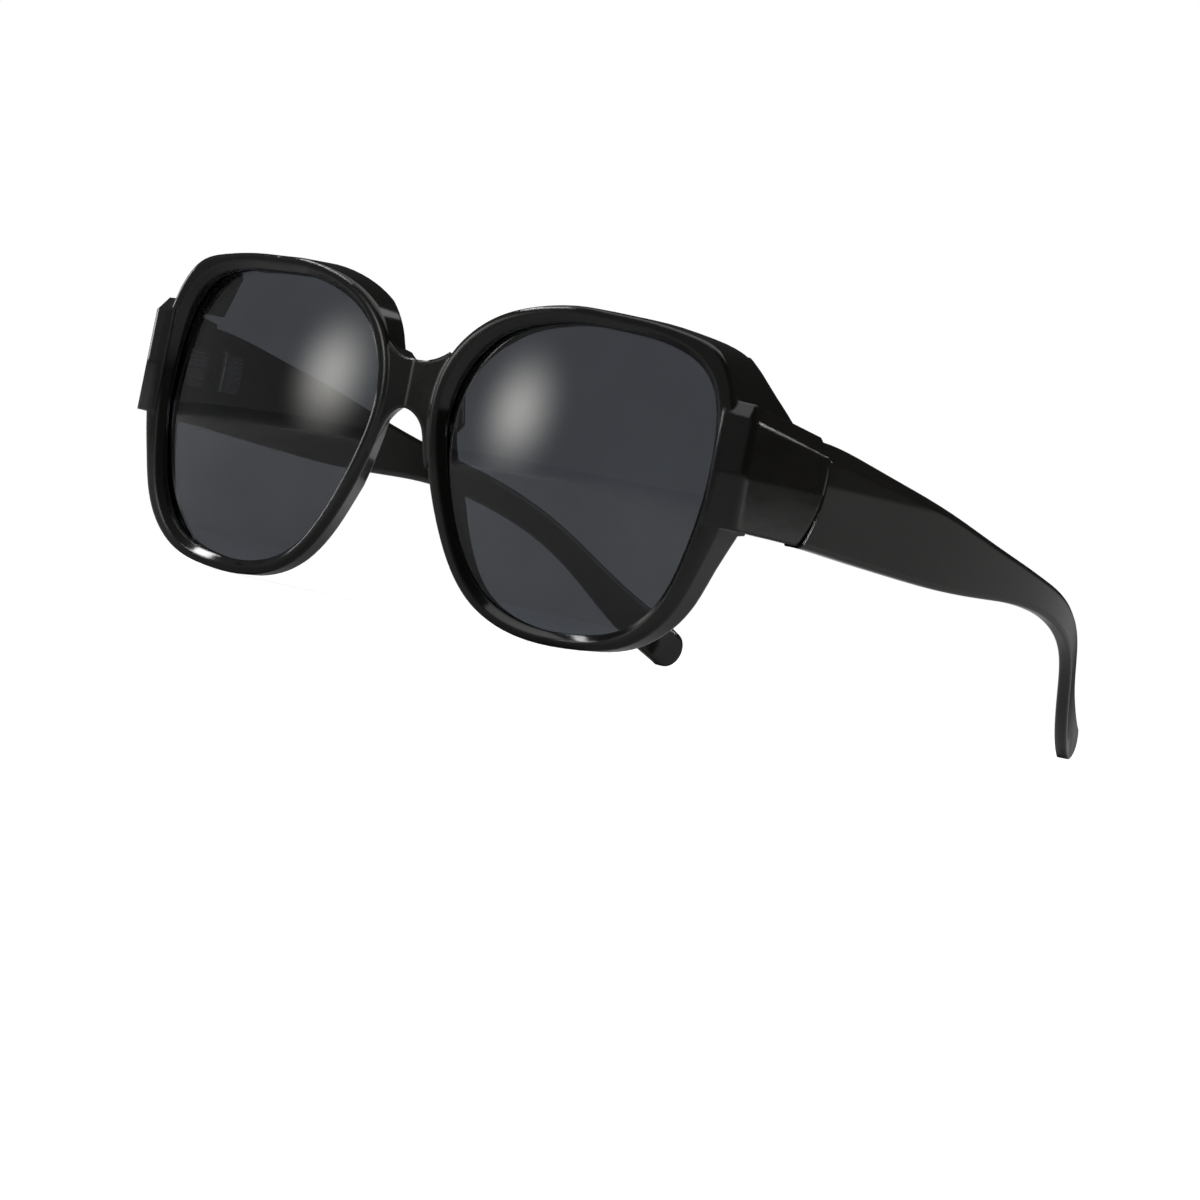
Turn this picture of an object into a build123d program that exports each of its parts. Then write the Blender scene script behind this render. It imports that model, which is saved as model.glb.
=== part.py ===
from build123d import *
import os
from math import atan2, cos, degrees, hypot, radians, sin, tan

# Fit-over sunglasses, worn over a pair of ordinary glasses.
# Millimetres. X runs across the face, +X to the wearer's left. Y runs from the front back to the
# temple tips and Z is up. Each part is drawn upright, with Z = 0 at the height of the lens centres,
# and the whole is tilted at the end, so that it stands on its rims and its temple tips.

# Lenses
lens_width = 58.6
lens_height = 55.2
lens_thickness = 1.4
lens_front_radius = 133.0
lens_spacing = 77.2
lens_set_back = -1.25

# Rims
wrap_angle = 5.3
rim_front_y = 2.6
rim_width = 4.0
rim_depth = 5.0
rim_crest_radius = 1.0
rim_bevel_width = 1.3
rim_bevel_depth = 1.4
groove_depth = 0.8
groove_clearance = 0.04

# Brow and side walls
wall_thickness = 1.9
wall_mid_depth = 8.0
wall_full_depth = 16.0
wall_flare = 4.0
nose_wall_depth = 5.4
hollow_inset = 1.5
brow_depth = 7.8
corner_depth = 10.7

# Bridge
bridge_set_back = 0.35
bridge_depth = 6.6
bridge_top = 15.8
bridge_height = 9.6
bridge_top_relief = 1.2
bridge_arch_relief = 2.2

# Lugs, which carry the hinges at the outer ends of the front
lug_reach = 11.5
lug_narrowing = 3.6
lug_lead_in = 0.2
lug_thickness = 4.1
lug_top = 15.5
lug_height = 19.8
lug_slope = 11.0
lug_proud = 0.25
lug_corner_radius = 2.4
lug_bevel_height = 3.0
lug_bevel_width = 2.0

# The joint line between lug and temple is an arc in side view
seam_y = 25.4
seam_radius = 22.0
seam_centre_z = 8.3
seam_gap = 0.15

# Temples
temple_length = 131.6
temple_height = 19.4
temple_thickness = 4.0
temple_toe_in = 26.0
temple_drop = 38.5
temple_corner_radius = 0.8
temple_tip_radius = 4.15

# Hinges
hinge_z = 6.6
knuckle_radius = 1.6
knuckle_height = 2.4
knuckle_gap = 0.08
knuckle_offset = 0.25
leaf_thickness = 0.9
leaf_recess = 0.4
leaf_length = 6.2
leaf_end_gap = 1.3
pin_radius = 0.7
pin_clearance = 0.05
pin_head_radius = 1.25
pin_head_height = 0.6
leaf_screw_radius = 0.5
leaf_screw_head_radius = 0.95
leaf_screw_head_height = 0.4
leaf_screw_length = 2.4

# How far a cutting shape runs past what it cuts
overrun = 4.0

# How closely the points that find the ground follow the surfaces
contact_tolerance = 0.01

# The lens outline, clockwise from the top as seen from the front, as shares of half the lens width
# and half its height. The third share widens the rim there, the fourth flares the wall, and the
# last is 1 where the wall is hollowed out behind the rim and 0 where the lens opening clears it.
rim_station_shares = [
    (-0.003, 1.000, 0.74, 0.08, 0),
    (0.355, 0.986, 0.74, 0.08, 0),
    (0.662, 0.928, 0.88, 0.04, 1),
    (0.819, 0.845, 1.14, 0.00, 1),
    (0.922, 0.722, 1.08, 0.08, 1),
    (0.980, 0.538, 1.06, 0.44, 1),
    (1.003, 0.266, 1.28, 0.40, 1),
    (0.990, -0.025, 1.38, 0.08, 1),
    (0.935, -0.351, 1.16, -0.10, 1),
    (0.833, -0.659, 1.00, 0.06, 1),
    (0.611, -0.895, 0.84, 0.00, 1),
    (0.253, -0.996, 0.70, -0.10, 0),
    (-0.140, -0.990, 0.70, -0.12, 0),
    (-0.481, -0.851, 0.80, -0.38, 0),
    (-0.754, -0.504, 1.00, -1.00, 0),
    (-0.928, -0.098, 1.14, -1.26, 0),
    (-1.003, 0.266, 1.16, -1.20, 0),
    (-0.928, 0.575, 1.06, -0.26, 0),
    (-0.737, 0.808, 0.90, -0.10, 0),
    (-0.413, 0.953, 0.78, 0.04, 0),
]

# How deep the wall is at each height, as shares of half the lens height and of the full wall depth
side_wall_shares = [
    (-1.35, 0.26),
    (-0.95, 0.28),
    (-0.82, 0.31),
    (-0.64, 0.36),
    (-0.40, 0.41),
    (-0.16, 0.48),
    (-0.15, 0.60),
    (0.62, 0.60),
    (0.625, 0.95),
    (0.77, 0.85),
    (0.95, 0.73),
    (1.35, 0.70),
]

# Where the brow wall reaches its depths, as shares of half the lens width
nose_side_share = -1.02
brow_start_share = -0.75
brow_end_share = 0.55
corner_share = 0.90

# The bridge's upper and lower edges: a share of the way from the middle of the nose to the lens,
# and a share of the bridge's height below its top
bridge_top_shares = [(-0.10, 0.00), (0.24, 0.01), (0.58, -0.09), (0.82, -0.24)]
bridge_arch_shares = [(-0.10, 0.98), (0.22, 1.03), (0.47, 1.24), (0.62, 1.62), (0.80, 2.06)]
bridge_back_arch_shares = [(-0.10, 0.98), (0.30, 1.00), (0.60, 1.06), (0.85, 1.16), (1.10, 1.30)]

# Temple sections: shares of its length, of its toe-in, of its drop, of its height, of its thickness
# and of the lug's bevel
temple_section_shares = [
    (-0.060, 0.000, 0.006, 1.00, 1.00, 1.00),
    (0.000, 0.000, 0.000, 1.00, 1.00, 1.00),
    (0.070, 0.000, 0.026, 0.965, 0.96, 0.92),
    (0.162, 0.000, 0.068, 0.885, 0.88, 0.70),
    (0.264, 0.000, 0.114, 0.785, 0.82, 0.42),
    (0.370, 0.010, 0.162, 0.630, 0.78, 0.28),
    (0.486, 0.040, 0.204, 0.430, 0.74, 0.22),
    (0.568, 0.086, 0.242, 0.338, 0.72, 0.20),
    (0.636, 0.156, 0.286, 0.312, 0.70, 0.20),
    (0.704, 0.262, 0.356, 0.300, 0.68, 0.20),
    (0.772, 0.410, 0.466, 0.290, 0.66, 0.20),
    (0.842, 0.605, 0.640, 0.325, 0.64, 0.20),
    (0.908, 0.790, 0.810, 0.405, 0.64, 0.20),
    (0.956, 0.915, 0.910, 0.425, 0.62, 0.20),
    (1.000, 1.000, 1.000, 0.410, 0.56, 0.18),
]
temple_start_z_share = 0.27

half_width = lens_width / 2
half_height = lens_height / 2
lens_centre_x = lens_spacing / 2
rim_plane = Plane(
    origin=(lens_centre_x, rim_front_y, 0),
    x_dir=(cos(radians(wrap_angle)), sin(radians(wrap_angle)), 0),
    z_dir=(sin(radians(wrap_angle)), -cos(radians(wrap_angle)), 0),
)
nose_u = -lens_centre_x / cos(radians(wrap_angle))

crest_x = lens_centre_x + half_width + rim_width
lug_outer_x = lens_centre_x + half_width + lug_reach
lug_front_x = lug_outer_x - lug_narrowing
leaf_face_x = lug_outer_x - lug_thickness
leaf_seat_x = leaf_face_x + leaf_recess
pivot_x = leaf_face_x - knuckle_radius - knuckle_offset
pivot_y = seam_y
hinge_height = 3 * knuckle_height + 2 * knuckle_gap


def moved_out(points, distances):
    """Each point of a clockwise outline, moved out square to the outline."""
    moved = []
    for index, (x, y) in enumerate(points):
        before = points[index - 1]
        after = points[(index + 1) % len(points)]
        run_x = after[0] - before[0]
        run_y = after[1] - before[1]
        length = hypot(run_x, run_y)
        out = distances[index]
        moved.append((x - out * run_y / length, y + out * run_x / length))
    return moved


def even(distance):
    """The same distance at every station of the rim."""
    return [distance] * len(rim_station_shares)


def outline_face(points, depth):
    """A flat face inside a smooth closed outline, set back from the rim's front plane."""
    return Pos(0, 0, -depth) * make_face(Spline(*points, periodic=True))


lens_points = [(half_width * row[0], half_height * row[1]) for row in rim_station_shares]


def wall_points(stage, hollow):
    """The wall's outline: the outside, or the hollow inside it. stage is 0 at the rim's front,
    1 at the wall's middle depth and 2 at its full depth."""
    distances = []
    for _, _, widen, flare, is_hollow in rim_station_shares:
        flared = flare * min(stage, 1) + max(flare, 0) * max(stage - 1, 0)
        outside = rim_width * widen + wall_flare * flared
        inside = outside - wall_thickness if is_hollow else -hollow_inset
        distances.append(inside if hollow else outside)
    return moved_out(lens_points, distances)


def along_u(side_points):
    """A solid whose side view is the given outline of (depth, height), across the whole rim."""
    profile = make_face(Polyline(*[(0, height, -depth) for depth, height in side_points], close=True))
    return extrude(profile, lens_width, dir=(1, 0, 0), both=True)


def along_v(plan_points):
    """A solid whose plan view is the given outline of (across, depth), over the whole height."""
    profile = make_face(Polyline(*[(u, 0, -depth) for u, depth in plan_points], close=True))
    return extrude(profile, lens_height, dir=(0, 1, 0), both=True)


def wall_envelope():
    """What the walls keep of their full depth, by height and across the brow."""
    side = [(wall_full_depth * share, half_height * height) for height, share in side_wall_shares]
    low = half_height * side_wall_shares[0][0]
    high = half_height * side_wall_shares[-1][0]
    by_height = along_u([(-overrun, low)] + side + [(-overrun, high)])
    across = [
        (-lens_width, -overrun),
        (-lens_width, nose_wall_depth),
        (half_width * nose_side_share, nose_wall_depth),
        (half_width * brow_start_share, brow_depth),
        (half_width * brow_end_share, brow_depth),
        (half_width * corner_share, corner_depth),
        (half_width * corner_share, wall_full_depth + overrun),
        (lens_width, wall_full_depth + overrun),
        (lens_width, -overrun),
    ]
    return by_height & along_v(across)


def wall_loft(outlines):
    """A solid through (stage, hollow, depth) outlines, one behind the other."""
    faces = [outline_face(wall_points(stage, hollow), depth) for stage, hollow, depth in outlines]
    return loft(faces, ruled=True)


def rim_body():
    """Rim and walls of one side, with the bevelled lens opening and the groove round it."""
    outside = wall_loft(
        [(0, False, 0), (1, False, wall_mid_depth), (2, False, wall_full_depth)]
    )
    front_edge = outside.edges().group_by(Axis.Z)[-1]
    outside = fillet(front_edge, rim_crest_radius)
    ring = outside - extrude(outline_face(lens_points, -overrun), -wall_full_depth - 2 * overrun)
    mouth = ring.edges().group_by(Axis.Z)[-1].sort_by(Edge.length)[0]
    ring = chamfer(mouth, rim_bevel_width, rim_bevel_depth)
    hollow = wall_loft(
        [
            (rim_depth / wall_mid_depth, True, rim_depth),
            (1, True, wall_mid_depth),
            (2, True, wall_full_depth),
            (2, True, wall_full_depth + overrun),
        ]
    )
    ring = (ring & wall_envelope()) - hollow
    return ring - lens_blank(groove_depth + groove_clearance, groove_clearance)


def bridge_edge(shares, extra_drop):
    """One edge of the bridge, from the middle of the nose into the rim."""
    reach = abs(nose_u) - half_width
    return [
        (nose_u + reach * across, bridge_top - bridge_height * down + extra_drop)
        for across, down in shares
    ]


def bridge_face(depth, top_drop, arch_rise, arch_shares):
    """Half of the bridge's outline at one depth."""
    top = bridge_edge(bridge_top_shares, -top_drop)
    arch = bridge_edge(arch_shares, arch_rise)
    outline = [
        Spline(*top),
        Line(top[-1], arch[-1]),
        Spline(*arch),
        Line(arch[0], top[0]),
    ]
    return Pos(0, 0, -depth) * make_face(outline)


def half_bridge():
    """Half of the bridge, with an arch that opens towards the back for the nose."""
    front = bridge_face(bridge_set_back, 0, 0, bridge_arch_shares)
    back = bridge_face(
        bridge_depth, bridge_top_relief, bridge_arch_relief, bridge_back_arch_shares
    )
    return loft([front, back], ruled=True)


def lens_sphere(radius):
    """A sphere about the lens's centre of curvature, its poles turned away from the lens."""
    centre = Pos(0, 0, -lens_set_back - lens_front_radius)
    return centre * Rot(90, 0, 0) * Sphere(radius)


def lens_blank(growth, clearance):
    """A curved lens blank, its outline grown past the visible opening."""
    face = outline_face(moved_out(lens_points, even(growth)), -overrun)
    prism = extrude(face, -3 * overrun)
    outer = lens_sphere(lens_front_radius + clearance)
    inner = lens_sphere(lens_front_radius - lens_thickness - clearance)
    return (prism & outer) - inner


def rim_front_at(x):
    """Y of the rim's front plane at a distance from the middle."""
    return rim_front_y + (x - lens_centre_x) * tan(radians(wrap_angle))


def seam_cylinder(radius):
    """The round end of a lug in side view, as a cylinder across the glasses."""
    length = 2 * (lug_outer_x + overrun)
    return Pos(0, seam_y - seam_radius, seam_centre_z) * Rot(0, 90, 0) * Cylinder(radius, length)


def lug():
    """The lug on the +X side: it grows out of the rim's front and runs back to the seam."""
    inner_start_x = lens_centre_x + half_width + rim_bevel_width
    front_y = rim_front_at(lug_front_x) + lug_lead_in
    widening = lug_narrowing / (seam_y - front_y)
    end_y = seam_y + overrun
    jog_y = pivot_y - leaf_end_gap - leaf_length
    plan = Polyline(
        (inner_start_x, rim_front_at(inner_start_x) - lug_proud),
        (crest_x, rim_front_at(crest_x) - lug_proud),
        (lug_front_x, front_y),
        (lug_outer_x + widening * overrun, end_y),
        (leaf_face_x, end_y),
        (leaf_face_x, jog_y),
        (leaf_face_x - wall_thickness, jog_y - wall_thickness),
        (crest_x, rim_front_at(crest_x) + rim_depth),
        (inner_start_x, rim_front_at(inner_start_x) + rim_depth),
        close=True,
    )
    body = extrude(make_face(plan), lug_height, both=True)
    slope = tan(radians(lug_slope))
    front_top = lug_top + slope * seam_y
    end_top = lug_top - slope * overrun
    bottom = lug_top - lug_height
    side = Polyline(
        (0, 0, front_top),
        (0, end_y, end_top),
        (0, end_y, bottom),
        (0, 0, bottom + lug_bevel_height / 3),
        close=True,
    )
    body = body & extrude(make_face(side), 2 * lug_outer_x, dir=(1, 0, 0))
    corner = body.edges().filter_by(Axis.Z).sort_by_distance((lug_front_x, front_y, 0))[0]
    body = fillet(corner, lug_corner_radius)
    top = body.faces().sort_by(Axis.Z)[-1]
    side_middle = (lug_outer_x, (front_y + end_y) / 2, lug_top)
    round_middle = (lug_front_x, front_y, front_top)
    outer_edges = [top.edges().sort_by_distance(spot)[0] for spot in (side_middle, round_middle)]
    body = chamfer(outer_edges, lug_bevel_width, lug_bevel_height, reference=top)
    return body & seam_cylinder(seam_radius)


def leaf_pocket():
    """The shallow recess for the hinge leaves in lug and temple."""
    length = 2 * (leaf_end_gap + leaf_length)
    depth = leaf_recess + overrun
    pocket = Box(depth, length, hinge_height)
    return Pos(leaf_seat_x - depth / 2, pivot_y, hinge_z) * pocket


def leaf_screw_places(side):
    """Centres of the two screws of one leaf. side is -1 on the lug and 1 on the temple."""
    places = []
    for share in (0.27, 0.75):
        places.append((pivot_y + side * (leaf_end_gap + leaf_length * share), hinge_z))
    return places


def leaf_screw_shape(radius, head_radius):
    """A small countersunk screw along X, its head flush with the leaf's inner face."""
    shank = Pos(0, 0, leaf_screw_length / 2) * Cylinder(radius, leaf_screw_length)
    head = Pos(0, 0, leaf_screw_head_height / 2) * Cone(
        head_radius, radius, leaf_screw_head_height
    )
    return Pos(leaf_seat_x - leaf_thickness, 0, 0) * Rot(0, 90, 0) * (shank + head)


def leaf_screws(side):
    """Both screws of one leaf, as separate solids."""
    screw = leaf_screw_shape(leaf_screw_radius, leaf_screw_head_radius)
    return [Pos(0, y, z) * screw for y, z in leaf_screw_places(side)]


def leaf(side, knuckle_levels):
    """One hinge leaf on the +X side, with its knuckles at the given levels."""
    start = leaf_end_gap
    centre_x = leaf_seat_x - leaf_thickness / 2
    plate = Pos(centre_x, pivot_y + side * (start + leaf_length / 2), hinge_z) * Box(
        leaf_thickness, leaf_length, hinge_height
    )
    corners = plate.edges().filter_by(Axis.X).group_by(Axis.Y)[-1 if side > 0 else 0]
    body = fillet(corners, knuckle_height / 2)
    for level in knuckle_levels:
        z = hinge_z + level * (knuckle_height + knuckle_gap)
        barrel = Pos(pivot_x, pivot_y, z) * Cylinder(knuckle_radius, knuckle_height)
        web = Pos(centre_x, pivot_y + side * start / 2, z) * Box(leaf_thickness, start, knuckle_height)
        body = body + barrel + web
    bore_radius = pin_radius + pin_clearance
    body = body - Pos(pivot_x, pivot_y, hinge_z) * Cylinder(bore_radius, hinge_height + overrun)
    for screw in leaf_screws(side):
        body = body - screw
    return body


def hinge_screw():
    """The hinge's pin: a slotted screw, its head on the upper knuckle."""
    top = hinge_z + hinge_height / 2
    shank = Pos(pivot_x, pivot_y, hinge_z) * Cylinder(pin_radius, hinge_height)
    head = Pos(pivot_x, pivot_y, top + pin_head_height / 2) * Cylinder(
        pin_head_radius, pin_head_height
    )
    head = fillet(head.edges().group_by(Axis.Z)[-1], pin_head_height / 3)
    slot = Pos(pivot_x, pivot_y, top + pin_head_height) * Box(
        2 * pin_head_radius, pin_head_height / 2, pin_head_height
    )
    return shank + (head - slot)


def temple_section(shares):
    """One cross-section of the temple, as a flat face square to its run."""
    along, toe, drop, height, thickness, bevel = shares
    half_h = temple_height * height / 2
    half_t = temple_thickness * thickness / 2
    bevel_h = lug_bevel_height * bevel
    bevel_w = min(lug_bevel_width, temple_thickness * thickness) * bevel
    radius = min(temple_corner_radius, half_t / 2)
    round_middle = radius * sin(radians(45))
    low = -half_h + radius
    corners = [
        Line((half_t, low), (half_t, half_h - bevel_h)),
        Line((half_t, half_h - bevel_h), (half_t - bevel_w, half_h)),
        Line((half_t - bevel_w, half_h), (-half_t + radius, half_h)),
        CenterArc((-half_t + radius, half_h - radius), radius, 90, 90),
        Line((-half_t, half_h - radius), (-half_t, low)),
        CenterArc((-half_t + radius, low), radius, 180, 90),
        Line((-half_t + radius, -half_h), (half_t - radius, -half_h)),
        CenterArc((half_t - radius, low), radius, 270, 90),
    ]
    return make_face(corners)


def temple_centre(index):
    """The middle of one section of the +X temple."""
    along, toe, drop, _, thickness, _ = temple_section_shares[index]
    start_z = temple_height * temple_start_z_share
    x = lug_outer_x - temple_toe_in * toe - temple_thickness * thickness / 2
    return Vector(x, seam_y + temple_length * along, start_z - temple_drop * drop)


def tip_cutter():
    """What is cut from the temple's square end to leave it round in side view."""
    last = len(temple_section_shares) - 1
    end = temple_centre(last)
    run = end - temple_centre(last - 1)
    place = Plane(origin=end, x_dir=Vector(run.Y, -run.X, 0), z_dir=-run)
    width = 2 * temple_thickness + overrun
    reach = temple_tip_radius + overrun
    block = Pos(0, 0, reach / 2 - overrun) * Box(width, 4 * temple_tip_radius, reach)
    round_end = Pos(0, 0, temple_tip_radius) * Rot(0, 90, 0) * Cylinder(temple_tip_radius, width)
    return place.location * (block - round_end)


def temple():
    """The temple on the +X side, lofted through its sections and cut at the seam."""
    count = len(temple_section_shares)
    faces = []
    for index in range(count):
        before = temple_centre(max(index - 1, 0))
        after = temple_centre(min(index + 1, count - 1))
        run = after - before
        outward = Vector(run.Y, -run.X, 0)
        place = Plane(origin=temple_centre(index), x_dir=outward, z_dir=-run)
        faces.append(place * temple_section(temple_section_shares[index]))
    body = loft(faces)
    body = body - tip_cutter() - seam_cylinder(seam_radius + seam_gap) - leaf_pocket()
    for screw in leaf_screws(1):
        body = body - screw
    return body


def front_half():
    """The +X half of the front, up to the middle of the bridge."""
    body = rim_body() + half_bridge()
    body = rim_plane.location * body
    body = body + lug() - leaf_pocket()
    for screw in leaf_screws(-1):
        body = body - screw
    reach = 2 * lens_spacing
    return body & Pos(reach / 2, 0, 0) * Box(reach, reach, reach)


def build_nodes():
    """Every node's list of solids, upright."""
    half = front_half()
    nodes = {"front_frame": [half + mirror(half, about=Plane.YZ)]}
    pieces = {
        "lens": [rim_plane.location * lens_blank(groove_depth, 0)],
        "temple": [temple()],
        "front_leaf": [leaf(-1, (-1, 1))],
        "temple_leaf": [leaf(1, (0,))],
        "hinge_screw": [hinge_screw()],
        "front_leaf_screws": leaf_screws(-1),
        "temple_leaf_screws": leaf_screws(1),
    }
    for name, shapes in pieces.items():
        nodes["left_" + name] = shapes
        nodes["right_" + name] = [mirror(shape, about=Plane.YZ) for shape in shapes]
    return nodes


def mesh_points(shapes):
    """Points on the shapes' surfaces, close enough to find where the glasses touch the ground."""
    return [point for shape in shapes for point in shape.tessellate(contact_tolerance)[0]]


def standing_place(nodes):
    """The tilt and shift that stand the glasses level on rims and tips, centred on the origin."""
    front = mesh_points(nodes["front_frame"])
    temples = mesh_points(nodes["left_temple"])
    low_rim = min(front, key=lambda point: point.Z)
    low_tip = min(temples, key=lambda point: point.Z)
    tilt = degrees(atan2(low_rim.Z - low_tip.Z, low_tip.Y - low_rim.Y))
    turned = [point.rotate(Axis.X, tilt) for point in front + temples]
    depths = [point.Y for point in turned]
    ground = min(point.Z for point in turned)
    return Pos(0, -(min(depths) + max(depths)) / 2, -ground) * Rot(tilt, 0, 0)


os.makedirs("parts", exist_ok=True)
all_nodes = build_nodes()
place = standing_place(all_nodes)
for node_name, solids in all_nodes.items():
    placed = [place * solid for solid in solids]
    whole = placed[0] if len(placed) == 1 else Compound(placed)
    whole.label = node_name
    export_step(whole, os.path.join("parts", node_name + ".step"))
print("placed by", place.position, place.orientation)
pivot = place * Pos(pivot_x, pivot_y, hinge_z)
print("left hinge at", pivot.position)
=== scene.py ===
import math

import bpy
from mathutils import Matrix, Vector

# Metres, in the row's own frame: X across the face, Y from the front back to the tips, Z up.
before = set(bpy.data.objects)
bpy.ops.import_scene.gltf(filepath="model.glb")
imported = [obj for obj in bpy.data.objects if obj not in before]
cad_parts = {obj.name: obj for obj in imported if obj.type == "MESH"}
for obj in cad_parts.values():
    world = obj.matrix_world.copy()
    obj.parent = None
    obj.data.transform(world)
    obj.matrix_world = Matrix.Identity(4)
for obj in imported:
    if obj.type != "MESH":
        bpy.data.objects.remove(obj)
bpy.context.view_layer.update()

# Camera, at the photograph's viewing angle
camera_place = (0.620873, -0.758474, 0.006)
camera_turn_degrees = (90.2685, -12.6993, 39.7163)
camera_lens_mm = 150.0
camera_sensor_mm = 36.0
camera_clip = (0.01, 100.0)

# Floor: it keeps the shadow near the glasses and goes over to plain white around them
floor_size = 6.0
floor_white = (0.50, 0.50, 0.50)
floor_white_light = (0.52, 0.52, 0.52)
floor_lift = 0.76
floor_fade = (0.10, 0.32)

# World: what lights the glasses, and what their gloss shows. A part of the white backdrop stands
# behind them, a pale screen to the front left, and the room is dark on the right. Screen and
# backdrop grow to full where the dot product of a ray's direction and theirs runs over the spread,
# and the backdrop fades out between two heights, each the Z of a ray's direction.
ambient_strength = 0.22
screen_direction = (-0.64, -0.77, 0.05)
screen_spread = (0.15, 0.80)
backdrop_direction = (0.25, 0.968, 0.0)
backdrop_spread = (0.75, 1.0)
backdrop_top = (0.05, 0.11)
gloss_screen = 0.20
gloss_backdrop = 0.42
gloss_room = 0.03

# Lamps: place, the point that they shine at, width and height, and watts. One size makes a disk.
# Box and strips draw the highlights along the edges, and the disk glows in the lenses.
front_middle = (0, -0.07, 0.04)
box_lamps = {
    "top_box": ((-0.15, 0.10, 0.90), (0, 0, 0), (1.1, 0.8), 2.8),
    "right_strip": ((0.80, 0.20, 0.275), (0.08, -0.06, 0.04), (0.45, 0.12), 5.0),
    "crest_strip": ((-0.60, -0.28, 0.64), front_middle, (0.50, 0.06), 1.4),
    "left_box": ((-0.95, -0.10, 0.15), front_middle, (0.22, 0.22), 0.8),
}
front_lamp = ((-0.514, -0.684, 0.122), (0, -0.078, 0.040), (0.40,), 2.3)
front_lamp_colour = (1.0, 0.985, 0.93)

# Finishes, linear colours
black_plastic = (0.0042, 0.0040, 0.0034)
black_plastic_light = (0.0068, 0.0065, 0.0058)
plastic_roughness = (0.06, 0.11)
plastic_edge_radius = 0.0008
plastic_ior = 1.5
smoke_tint = (0.036, 0.039, 0.046)
smoke_tint_light = (0.042, 0.046, 0.053)
hinge_steel = (0.30, 0.295, 0.285)
hinge_steel_light = (0.42, 0.415, 0.40)
screw_steel = (0.36, 0.355, 0.34)
steel_roughness = (0.22, 0.38)
steel_edge_radius = 0.00012

# Noise is drawn out along the axes with the small scales: flow of the plastic, smears from wiping,
# and lines from rolling the leaves and turning the screws
front_flow = (1.0, 1.0, 0.5)
temple_flow = (1.0, 0.3, 1.0)
plastic_smear = (1.0, 0.35, 1.0)
lens_smear = (1.0, 1.0, 0.4)
leaf_lines = (1.0, 0.08, 1.0)
turned_lines = (1.0, 1.0, 0.08)
even_lines = (1.0, 1.0, 1.0)

# The outer faces of lugs and temples are slightly crowned: they change their lean across a line,
# given by its height, its slope to the back, the run of the change, and the lean below and above
lug_crown = (0.0385, 0.025, 0.0016, -0.035, 0.012)
temple_crown = (0.0397, 0.025, 0.0016, 0.0, 0.05)
crown_start_x = 0.069
crown_full_x = 0.073

# The slots of the small screws are drawn as painted shade: a dark colour laid on one line along
# each leaf.
# The painted shade ends softly at a share of the slot's half width.
slot_line_z = 0.03952
slot_line_slope = 0.0329
slot_half_width = 0.00013
slot_edge_share = 1.4
# Colour of the painted shade in the screw slots
slot_painted_shade = (0.03, 0.03, 0.03)


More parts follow.
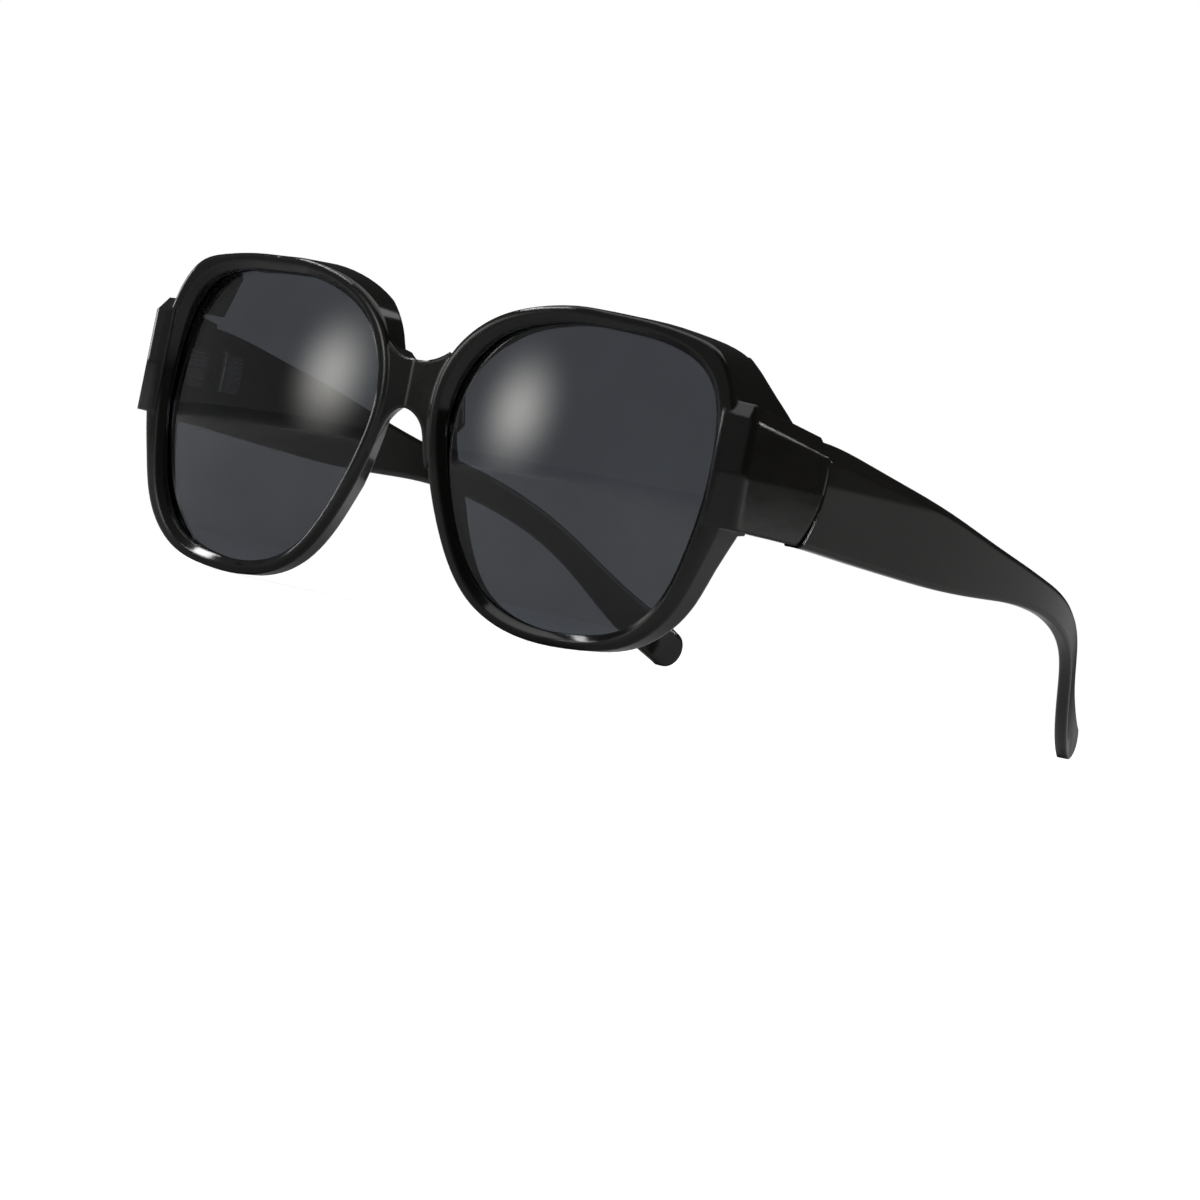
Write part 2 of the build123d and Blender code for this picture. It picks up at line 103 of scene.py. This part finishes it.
class Maker:
    """Adds nodes to one tree and joins them."""

    def __init__(self, tree):
        self.tree = tree

    def node(self, kind, **settings):
        made = self.tree.nodes.new(kind)
        for key, value in settings.items():
            setattr(made, key, value)
        return made

    def join(self, source, target):
        self.tree.links.new(source, target)

    def place(self, scale=(1, 1, 1)):
        """The object's own coordinates, times a scale."""
        coordinates = self.node("ShaderNodeTexCoord")
        mapping = self.node("ShaderNodeMapping")
        mapping.inputs["Scale"].default_value = scale
        self.join(coordinates.outputs["Object"], mapping.inputs["Vector"])
        return mapping.outputs["Vector"]

    def noise(self, per_metre, detail=3.0, scale=(1, 1, 1), rough=0.55):
        """Noise of so many waves a metre. It mostly stays between 0.3 and 0.7."""
        made = self.node("ShaderNodeTexNoise")
        made.inputs["Scale"].default_value = per_metre
        made.inputs["Detail"].default_value = detail
        made.inputs["Roughness"].default_value = rough
        self.join(self.place(scale), made.inputs["Vector"])
        return made.outputs["Fac"]

    def ramp(self, factor, start, end, low=0.0, high=1.0):
        """A smooth step from low to high as factor runs from start to end."""
        made = self.node("ShaderNodeMapRange", interpolation_type="SMOOTHSTEP")
        ends = {"From Min": start, "From Max": end, "To Min": low, "To Max": high}
        for key, value in ends.items():
            made.inputs[key].default_value = value
        self.join(factor, made.inputs["Value"])
        return made.outputs["Result"]

    def blend(self, factor, low, high):
        """A colour between two colours, each a value or another node's output."""
        made = self.node("ShaderNodeMix", data_type="RGBA")
        for key, colour in (("A", low), ("B", high)):
            if isinstance(colour, tuple):
                made.inputs[key].default_value = (*colour, 1)
            else:
                self.join(colour, made.inputs[key])
        self.join(factor, made.inputs["Factor"])
        return made.outputs["Result"]

    def soft_edges(self, radius):
        """The surface's normal, rounded over along sharp edges."""
        made = self.node("ShaderNodeBevel", samples=6)
        made.inputs["Radius"].default_value = radius
        return made.outputs["Normal"]

    def axes(self):
        """The separate coordinates of a point on the object."""
        parts = self.node("ShaderNodeSeparateXYZ")
        self.join(self.place(), parts.inputs[0])
        return parts.outputs

    def above_line(self, line_z, slope):
        """How far a point of the object is above a line that rises to the back."""
        axes = self.axes()
        line = self.number("MULTIPLY_ADD", axes["Y"], slope, line_z)
        return self.number("SUBTRACT", axes["Z"], line)

    def crowned(self, normal, line_z, slope, run, low, high):
        """The normal, leaned on the outer faces of a lug or temple."""
        lean = self.ramp(self.above_line(line_z, slope), -0.5 * run, 0.5 * run, low, high)
        side = self.number("ABSOLUTE", self.axes()["X"])
        outside = self.ramp(side, crown_start_x, crown_full_x)
        lift = self.node("ShaderNodeCombineXYZ")
        self.join(self.times(lean, outside), lift.inputs["Z"])
        leaned = self.node("ShaderNodeVectorMath", operation="ADD")
        self.join(normal, leaned.inputs[0])
        self.join(lift.outputs["Vector"], leaned.inputs[1])
        unit = self.node("ShaderNodeVectorMath", operation="NORMALIZE")
        self.join(leaned.outputs["Vector"], unit.inputs[0])
        return unit.outputs["Vector"]

    def bump(self, height, depth, strength, base=None):
        """The base normal, or else the surface's own, made uneven by a height."""
        made = self.node("ShaderNodeBump")
        if base:
            self.join(base, made.inputs["Normal"])
        made.inputs["Distance"].default_value = depth
        made.inputs["Strength"].default_value = strength
        self.join(height, made.inputs["Height"])
        return made.outputs["Normal"]

    def number(self, operation, *values):
        """A sum, product or the like of numbers and node outputs."""
        made = self.node("ShaderNodeMath", operation=operation)
        for socket, value in zip(made.inputs, values):
            if isinstance(value, (int, float)):
                socket.default_value = value
            else:
                self.join(value, socket)
        return made.outputs["Value"]

    def add(self, first, second):
        return self.number("ADD", first, second)

    def times(self, first, second):
        return self.number("MULTIPLY", first, second)

    def shader(self, colour, rough, normal, **constants):
        """A Principled shader. Its other inputs are constants, named with _ for each space."""
        made = self.node("ShaderNodeBsdfPrincipled")
        self.join(colour, made.inputs["Base Color"])
        self.join(rough, made.inputs["Roughness"])
        self.join(normal, made.inputs["Normal"])
        for key, value in constants.items():
            made.inputs[key.replace("_", " ")].default_value = value
        return made.outputs["BSDF"]

    def seen_directly(self):
        """1 for rays straight from the camera or through a lens, and 0 for others."""
        path = self.node("ShaderNodeLightPath")
        camera, through = path.outputs["Is Camera Ray"], path.outputs["Is Transmission Ray"]
        return self.number("MAXIMUM", camera, through)

    def white(self, strength):
        """A world's plain white of a strength: a number, or a node's output."""
        made = self.node("ShaderNodeBackground")
        made.inputs["Color"].default_value = (1, 1, 1, 1)
        if isinstance(strength, float):
            made.inputs["Strength"].default_value = strength
        else:
            self.join(strength, made.inputs["Strength"])
        return made.outputs["Background"]

    def choose(self, factor, first, second):
        """The first surface where factor is 0 and the second where it is 1."""
        made = self.node("ShaderNodeMixShader")
        self.join(factor, made.inputs["Fac"])
        self.join(first, made.inputs[1])
        self.join(second, made.inputs[2])
        return made.outputs["Shader"]

    def output(self, kind, surface):
        """Ends the tree in an output node of a kind."""
        self.join(surface, self.node(kind).inputs["Surface"])


def emptied(owner):
    """A maker for a new material's or world's tree, without the nodes that it starts with."""
    owner.use_nodes = True
    owner.node_tree.nodes.clear()
    return Maker(owner.node_tree)


def new_material(name):
    """A new material, and the maker for its tree."""
    material = bpy.data.materials.new(name)
    return material, emptied(material)


def moulded_plastic(name, flow, crown):
    """Polished black moulded plastic: faint flow, fine ripple, handling marks and dust."""
    material, m = new_material(name)
    cloud = m.noise(per_metre=90.0, detail=4.0, scale=flow)
    dust = m.noise(per_metre=5200.0, detail=2.0)
    pale = m.add(m.ramp(cloud, 0.35, 0.70, high=0.55), m.ramp(dust, 0.70, 0.78, high=0.8))
    colour = m.blend(pale, black_plastic, black_plastic_light)
    smears = m.noise(per_metre=160.0, detail=5.0, scale=plastic_smear, rough=0.65)
    rough = m.ramp(smears, 0.30, 0.72, *plastic_roughness)
    wide_ripple = m.times(m.noise(per_metre=420.0, detail=2.0), 0.6)
    fine_ripple = m.times(m.noise(per_metre=2600.0, detail=2.0), 0.12)
    smooth = m.crowned(m.soft_edges(plastic_edge_radius), *crown)
    normal = m.bump(m.add(wide_ripple, fine_ripple), depth=0.000012, strength=0.6, base=smooth)
    surface = m.shader(colour, rough, normal, IOR=plastic_ior)
    m.output("ShaderNodeOutputMaterial", surface)
    return material


def smoke_lens(name):
    """Smoke grey plastic lens: see-through and glossy, with clouds in its tint and faint smears."""
    material, m = new_material(name)
    cloud = m.noise(per_metre=38.0)
    colour = m.blend(m.ramp(cloud, 0.35, 0.70), smoke_tint, smoke_tint_light)
    smears = m.noise(per_metre=120.0, detail=5.0, scale=lens_smear, rough=0.7)
    rough = m.ramp(smears, 0.45, 0.75, high=0.03)
    normal = m.bump(m.noise(per_metre=60.0, detail=1.0), depth=0.000004, strength=0.5)
    surface = m.shader(colour, rough, normal, IOR=plastic_ior, Transmission_Weight=1.0)
    m.output("ShaderNodeOutputMaterial", surface)
    return material


def rolled_steel(name, low, high, stretch, paint_slot_shade=False):
    """Plated steel with fine lines from rolling or turning, and, where asked, a driver's slot drawn
    as painted shade.
    """
    material, m = new_material(name)
    lines = m.noise(per_metre=2500.0, scale=stretch)
    cloud = m.noise(per_metre=700.0, detail=2.0)
    colour = m.blend(m.ramp(cloud, 0.35, 0.70), low, high)
    if paint_slot_shade:
        # Painted shade: a dark line blended into the steel's colour where the screw slots lie
        away = m.number("ABSOLUTE", m.above_line(slot_line_z, slot_line_slope))
        slot_edge = slot_edge_share * slot_half_width
        colour = m.blend(m.ramp(away, slot_half_width, slot_edge, 1.0, 0.0), colour, slot_painted_shade)
    rough = m.ramp(lines, 0.30, 0.70, *steel_roughness)
    edges = m.soft_edges(steel_edge_radius)
    normal = m.bump(lines, depth=0.000008, strength=0.5, base=edges)
    surface = m.shader(colour, rough, normal, Metallic=1.0)
    m.output("ShaderNodeOutputMaterial", surface)
    return material


# The finish of each CAD node, by how its name ends
finishes = {
    "frame": moulded_plastic("black_front_plastic", front_flow, lug_crown),
    "temple": moulded_plastic("black_temple_plastic", temple_flow, temple_crown),
    "lens": smoke_lens("smoke_lens_plastic"),
    "leaf": rolled_steel("hinge_steel", hinge_steel, hinge_steel_light, leaf_lines),
    "hinge_screw": rolled_steel("screw_steel", screw_steel, hinge_steel_light, turned_lines),
    "leaf_screws": rolled_steel(
        "small_screw_steel", screw_steel, hinge_steel_light, even_lines, paint_slot_shade=True
    ),
}

for node_name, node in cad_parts.items():
    finish = next(finishes[ending] for ending in finishes if node_name.endswith(ending))
    for slot in node.material_slots:
        slot.material = finish


def pale_floor():
    """A white floor that keeps the shadow under the glasses."""
    bpy.ops.mesh.primitive_plane_add(size=floor_size)
    floor = bpy.context.object
    floor.name = "floor"
    material, m = new_material("floor_white")
    diffuse = m.node("ShaderNodeBsdfDiffuse")
    speckle = m.noise(per_metre=30.0)
    m.join(m.blend(speckle, floor_white, floor_white_light), diffuse.inputs["Color"])
    distance = m.node("ShaderNodeVectorMath", operation="LENGTH")
    m.join(m.place(), distance.inputs[0])
    lift = m.ramp(distance.outputs["Value"], *floor_fade, low=floor_lift)
    glow = m.node("ShaderNodeEmission")
    m.join(m.times(m.seen_directly(), lift), glow.inputs["Strength"])
    both = m.node("ShaderNodeAddShader")
    m.join(diffuse.outputs["BSDF"], both.inputs[0])
    m.join(glow.outputs["Emission"], both.inputs[1])
    m.output("ShaderNodeOutputMaterial", both.outputs["Shader"])
    floor.data.materials.append(material)


def studio_world():
    """White behind the glasses, with dimmer surroundings for the light and the gloss."""
    world = bpy.data.worlds.new("studio")
    bpy.context.scene.world = world
    w = emptied(world)
    towards = w.node("ShaderNodeTexCoord").outputs["Generated"]

    def share(direction, spread, high, low=0.0):
        """How much a ray's direction agrees with another."""
        made = w.node("ShaderNodeVectorMath", operation="DOT_PRODUCT")
        w.join(towards, made.inputs[0])
        made.inputs[1].default_value = direction
        return w.ramp(made.outputs["Value"], *spread, low=low, high=high)

    screen = share(screen_direction, screen_spread, gloss_screen, gloss_room)
    backdrop = share(backdrop_direction, backdrop_spread, gloss_backdrop)
    height = w.node("ShaderNodeSeparateXYZ")
    w.join(towards, height.inputs[0])
    below_top = w.ramp(height.outputs["Z"], *backdrop_top, low=1.0, high=0.0)
    gloss = w.white(w.add(screen, w.times(backdrop, below_top)))
    is_glossy = w.node("ShaderNodeLightPath").outputs["Is Glossy Ray"]
    around = w.choose(is_glossy, w.white(ambient_strength), gloss)
    w.output("ShaderNodeOutputWorld", w.choose(w.seen_directly(), around, w.white(1.0)))


def area_lamp(name, place, aim, size, power):
    """A lamp that shines from one place towards another; round where it has one size."""
    data = bpy.data.lights.new(name, "AREA")
    data.shape = "DISK" if len(size) == 1 else "RECTANGLE"
    data.size = size[0]
    data.size_y = size[-1]
    data.energy = power
    lamp = bpy.data.objects.new(name, data)
    bpy.context.collection.objects.link(lamp)
    lamp.location = place
    lamp.rotation_euler = (Vector(aim) - Vector(place)).to_track_quat("-Z", "Y").to_euler()
    return lamp


def soften(lamp):
    """Lets a round lamp fade from its middle to its edge."""
    lamp.data.use_nodes = True
    m = Maker(lamp.data.node_tree)
    emission = next(node for node in m.tree.nodes if node.type == "EMISSION")
    spot = m.node("ShaderNodeNewGeometry")
    from_centre = m.node("ShaderNodeVectorMath", operation="DISTANCE")
    m.join(spot.outputs["Parametric"], from_centre.inputs[0])
    from_centre.inputs[1].default_value = (0.5, 0.5, 0.0)
    fade = m.ramp(from_centre.outputs["Value"], 0.0, 0.5, low=1.0, high=0.0)
    m.join(m.times(fade, fade), emission.inputs["Strength"])


def studio_camera():
    """The camera, at the photograph's viewing angle."""
    data = bpy.data.cameras.new("camera")
    data.lens = camera_lens_mm
    data.sensor_width = camera_sensor_mm
    data.clip_start, data.clip_end = camera_clip
    camera = bpy.data.objects.new("camera", data)
    bpy.context.collection.objects.link(camera)
    camera.location = camera_place
    camera.rotation_euler = [math.radians(turn) for turn in camera_turn_degrees]
    bpy.context.scene.camera = camera


pale_floor()
studio_world()
for lamp_name, lamp_values in box_lamps.items():
    area_lamp(lamp_name, *lamp_values)
glow_lamp = area_lamp("front_lamp", *front_lamp)
glow_lamp.data.color = front_lamp_colour
soften(glow_lamp)
studio_camera()

bpy.context.scene.view_settings.view_transform = "Standard"
